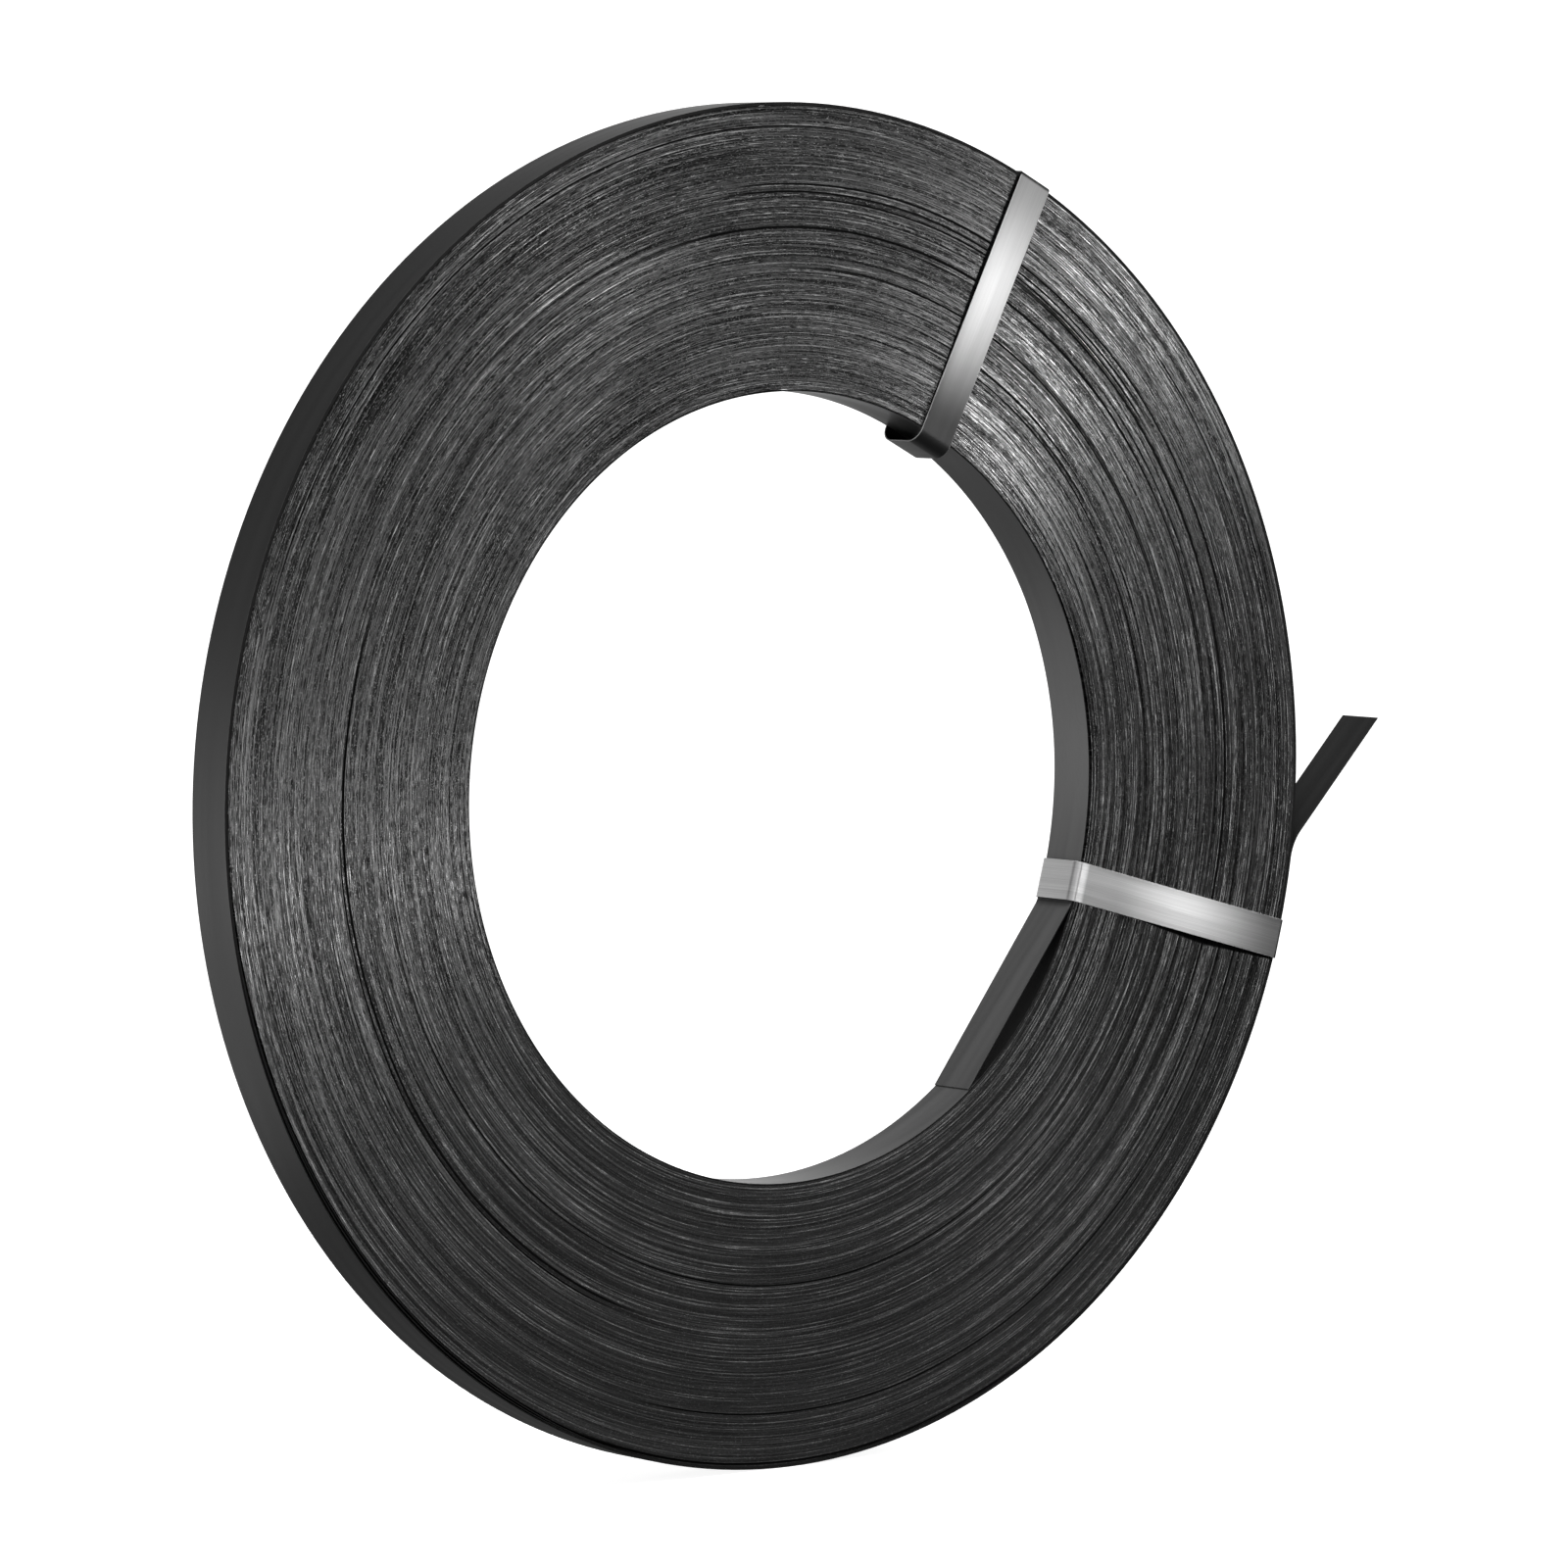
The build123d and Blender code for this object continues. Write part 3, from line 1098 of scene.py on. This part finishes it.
@dataclass
class InnerTurn(LooseStrip):
    """The innermost turn along the bore, and the strap's free inner end."""

    leave_angle: float = -19.62
    end_length: float = 104.0 * MM
    tip_gap: float = 1.7 * MM
    bend_radius: float = 12.0 * MM
    bend_steps: int = 8
    stand_in: float = 0.45 * MM
    window: Window = Window(4.0, 24.0)

    def path(self) -> list[Vector]:
        """The path from the tip of the inner end, once round the bore.

        Returns:
            Points in the XY plane.
        """
        wall = BORE_RADIUS
        tip_radius = wall - self.tip_gap
        turn = degrees(asin((wall**2 + self.end_length**2 - tip_radius**2) / (2 * wall * self.end_length)))
        radius = wall + STRAP_THICKNESS / 2
        root = on_ring(radius, self.leave_angle)
        end = FreeEnd(turn, self.bend_radius, self.end_length, self.bend_steps)
        points = list(reversed(end.points(root, self.leave_angle - 90))) + [root]
        steps = round(FULL_TURN / PATH_STEP)
        for i in range(1, steps + 1):
            angle = self.leave_angle + PATH_STEP * i
            climb = STRAP_THICKNESS * i / steps
            points.append(on_ring(radius + climb - self.stand_in * self.window.value(angle), angle))
        return points


@dataclass
class TieBand:
    """One bright band round the coil's section. Its finish says which way it lies."""

    name: str
    bore_bend: float
    slack: float
    finish: BandSteel
    thickness: float = 0.6 * MM
    edge_radius: float = 0.12 * MM
    lap_length: float = 45.0 * MM
    rim_bend: float = 1.5 * MM
    scatter: float = 0.45 * MM

    def ease(self, bend: float) -> float:
        """How far a bend stands off the coil's square corner."""
        drop = max(bend - self.scatter, 0.0)
        return bend - sqrt(bend**2 - drop**2)

    def build(self, effects: Effects, tree: Tree) -> bpy.types.Object:
        """Builds the band.

        Args:
            effects: The shared shader groups.
            tree: The tie band tree.

        Returns:
            The finished piece.
        """
        seat = sqrt(BORE_RADIUS**2 - (TIE_OFFSET + TIE_WIDTH / 2) ** 2)
        values = {
            "Start": seat - self.ease(self.bore_bend) - self.slack,
            "Stop": RIM_RADIUS + self.ease(self.rim_bend),
            "Inside": STRAP_WIDTH / 2 + self.scatter,
            "Thickness": self.thickness,
            "Width": TIE_WIDTH,
            "Bore Bend": self.bore_bend,
            "Rim Bend": self.rim_bend,
            "Lap Length": self.lap_length,
            "Heading": radians(self.finish.heading),
            "Edge Radius": self.edge_radius,
            "Material": self.finish.material(effects),
        }
        return run_geometry_nodes(self.name, tree, values)


# Floor, light and camera

@dataclass(frozen=True)
class SoftBox:
    """One soft light, aimed at a point."""

    name: str
    place: Place
    width: float
    height: float
    power: float
    aim: Place = (0.0, 0.0, 0.0)

    def build(self) -> None:
        """Adds the light."""
        data = bpy.data.lights.new(self.name, "AREA")
        data.shape = "RECTANGLE"
        data.size, data.size_y, data.energy = self.width, self.height, self.power
        lamp = place_object(self.name, data)
        lamp.location = self.place
        lamp.rotation_euler = (Vector(self.aim) - Vector(self.place)).to_track_quat("-Z", "Y").to_euler()
        lamp.visible_camera = False


@dataclass(frozen=True)
class BrightPatch:
    """A bright patch of the surroundings. It starts and is full at these nearnesses to its direction."""

    direction: Place
    start: float
    full: float
    strength: float


@dataclass
class Studio:
    """The pale floor, the white surroundings, the lights and the camera."""

    floor_height: float = -RIM_RADIUS
    floor_radius: float = 1.4
    floor_sides: int = 96
    floor_colour: float = 0.85
    floor_glow: float = 0.9
    dim_glow: float = 0.09
    seen_glow: float = 1.05
    lens: float = 185.79
    sensor: float = 36.0
    clip: tuple[float, float] = (0.05, 60.0)
    eye: Place = (-2.3399, -2.9392, 0.2727)
    right: Place = (0.781429, -0.623995, 0.0)
    up: Place = (0.044971, 0.056317, 0.997400)
    back: Place = (-0.622373, -0.779396, 0.072069)
    patches: tuple[BrightPatch, ...] = (
        BrightPatch((-0.65, 0.72, -0.25), 0.86, 1.0, 1.5),
        BrightPatch((-0.70, -0.65, 0.29), 0.6, 0.95, 0.35),
        BrightPatch((-0.34, -0.93, -0.14), 0.95, 0.99, 1.2),
    )
    boxes: list[SoftBox] = field(default_factory=lambda: [
        SoftBox("key", (2.2, -0.68, 0.88), 0.45, 0.45, 11.3),
        SoftBox("front", (0.10, -1.5, -0.27), 0.36, 0.16, 2.8),
        SoftBox("card", (1.45, -1.55, 0.0), 0.45, 0.75, 3.2),
        SoftBox("top", (-0.2, -0.8, 2.2), 1.6, 1.2, 66.0),
        SoftBox("back_card", (-0.75, 0.9, -0.30), 1.3, 1.3, 3.8, (-0.75, 0.9, 1.0)),
    ])

    def build(self) -> None:
        """Adds everything that isn't part of the object."""
        self.floor()
        self.surroundings()
        for box in self.boxes:
            box.build()
        self.camera()

    def floor(self) -> None:
        """Adds the pale round floor. The camera sees it evenly lit, and the coil reflects it dimmer."""
        mesh = bpy.data.meshes.new("floor")
        turns = [tau * i / self.floor_sides for i in range(self.floor_sides)]
        far = self.floor_radius
        ring = [(far * cos(turn), far * sin(turn), self.floor_height) for turn in turns]
        mesh.from_pydata(ring, [], [tuple(range(self.floor_sides))])
        floor = place_object("floor", mesh)
        material = bpy.data.materials.new("pale_floor")
        w = emptied(material)
        white = w.add("ShaderNodeBsdfDiffuse", {"Color": grey(self.floor_colour)})
        glow = w.add("ShaderNodeEmission", {"Color": grey(1.0), "Strength": self.floor_glow})
        lit = w.add("ShaderNodeAddShader", {0: white.outputs[0], 1: glow.outputs[0]})
        depth = w.parts(w.add("ShaderNodeTexCoord").outputs["Object"])["Y"]
        under_coil = w.remap(depth, -0.02, 0.08, 0.10, 0.22)
        far_back = w.remap(depth, 0.35, 0.70, 0.0, 0.2)
        dull = w.add("ShaderNodeEmission", {"Color": grey(1.0), "Strength": w.plus(under_coil, far_back)})
        seen = w.add("ShaderNodeLightPath").outputs["Is Camera Ray"]
        both = w.add("ShaderNodeMixShader", {0: seen, 1: dull.outputs[0], 2: lit.outputs[0]})
        w.add("ShaderNodeOutputMaterial", {"Surface": both.outputs[0]})
        mesh.materials.append(material)

    def surroundings(self) -> None:
        """Sets the white surroundings: brightest behind the coil near eye height, dim in front."""
        world = bpy.data.worlds.new("studio")
        w = emptied(world)
        looked_at = w.add("ShaderNodeTexCoord").outputs["Generated"]
        parts = w.parts(looked_at)
        behind = w.remap(parts["Y"], 0.0, 0.5, ramp=Ramp.EASED)
        level = w.remap(w.size(parts["Z"]), 0.62, 0.05, ramp=Ramp.EASED)
        right = w.remap(parts["X"], -0.4, 0.5, 0.30, 1.3, Ramp.EASED)
        strength = w.fused(w.times(behind, level), right, self.dim_glow)
        for patch in self.patches:
            near = w.dot(looked_at, patch.direction)
            glow = w.remap(near, patch.start, patch.full, 0.0, patch.strength, Ramp.EASED)
            strength = w.plus(strength, glow)
        seen = w.add("ShaderNodeLightPath").outputs["Is Camera Ray"]
        strength = w.math("MAXIMUM", strength, w.times(seen, self.seen_glow))
        light = w.add("ShaderNodeBackground", {"Color": grey(1.0), "Strength": strength})
        w.add("ShaderNodeOutputWorld", {"Surface": light.outputs[0]})
        bpy.context.scene.world = world
        bpy.context.scene.view_settings.view_transform = "Standard"

    def camera(self) -> None:
        """Adds the camera at the photograph's place, with its axes."""
        data = bpy.data.cameras.new("camera")
        data.lens, data.sensor_width, data.sensor_fit = self.lens, self.sensor, "HORIZONTAL"
        data.clip_start, data.clip_end = self.clip
        eye = place_object("camera", data)
        axes = Matrix((self.right, self.up, self.back)).transposed()
        eye.matrix_world = Matrix.Translation(self.eye) @ axes.to_4x4()
        bpy.context.scene.camera = eye


def main() -> None:
    """Builds the object, the studio and the size note."""
    logging.basicConfig(level=logging.INFO, format="%(name)s %(message)s")
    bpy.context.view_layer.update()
    effects = Effects(brushing_group(), edge_wear_group(), polar_group(), loose_line_group(),
                      band_shadow_group())
    rim = StrapFace("strap_rim", colour=0.018, gloss=0.38)
    # The bore wall is the same black strap as the rim, made lighter as painted light, with painted shade at
    # its top and behind the inner free end.
    wall = StrapFace("strap_bore_wall_painted_light", colour=0.085, gloss=0.55, painted_top_level=0.5, tail_shadow_radius=183.9 * MM)
    # The strips' edges are black paint, darkened further to near black as painted shade.
    edge = StrapFace("strap_edge_painted_shade", colour=0.006, metallic=0.0, roughness=0.6, gloss=0.2, worn_share=0.0)
    pack = WoundPack(TurnEdges("turn_edges")).build(effects)
    ribbon = strap_ribbon_tree()
    outer = OuterTurns(rim, edge).build("outer_turns", effects, ribbon)
    inner = InnerTurn(wall, edge).build("inner_turn", effects, ribbon)
    for piece in (pack, outer, inner):
        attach(piece, "root")
        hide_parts("strapping_coil")
        report(piece)
    tie_tree = tie_band_tree()
    upper_steel = BandSteel("band_steel_upper_band", 63.0)
    # The lower band is the same steel as the upper one: its darker tone, its differently placed sheen and its
    # bore-bend highlight are painted light and shade, and its lower dull value also gives stronger brushing
    # lines.
    lower_steel = BandSteel("band_steel_lower_band", -15.1, sheen_middle=254.0 * MM, bore_fade=206.0 * MM,
                            bore_sheen=0.46, rim_sheen=0.20, bend_sheen=1.0, dull=0.46, bright=0.86)
    bands = (
        TieBand("upper_band", 6.5 * MM, 2.0 * MM, upper_steel),
        TieBand("lower_band", 3.0 * MM, 0.2 * MM, lower_steel),
    )
    for band, node in zip(bands, ("upper_tie_band", "lower_tie_band")):
        piece = band.build(effects, tie_tree)
        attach(piece, "root")
        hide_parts(node)
        report(piece)
    Studio().build()


if __name__ == "__main__":
    main()
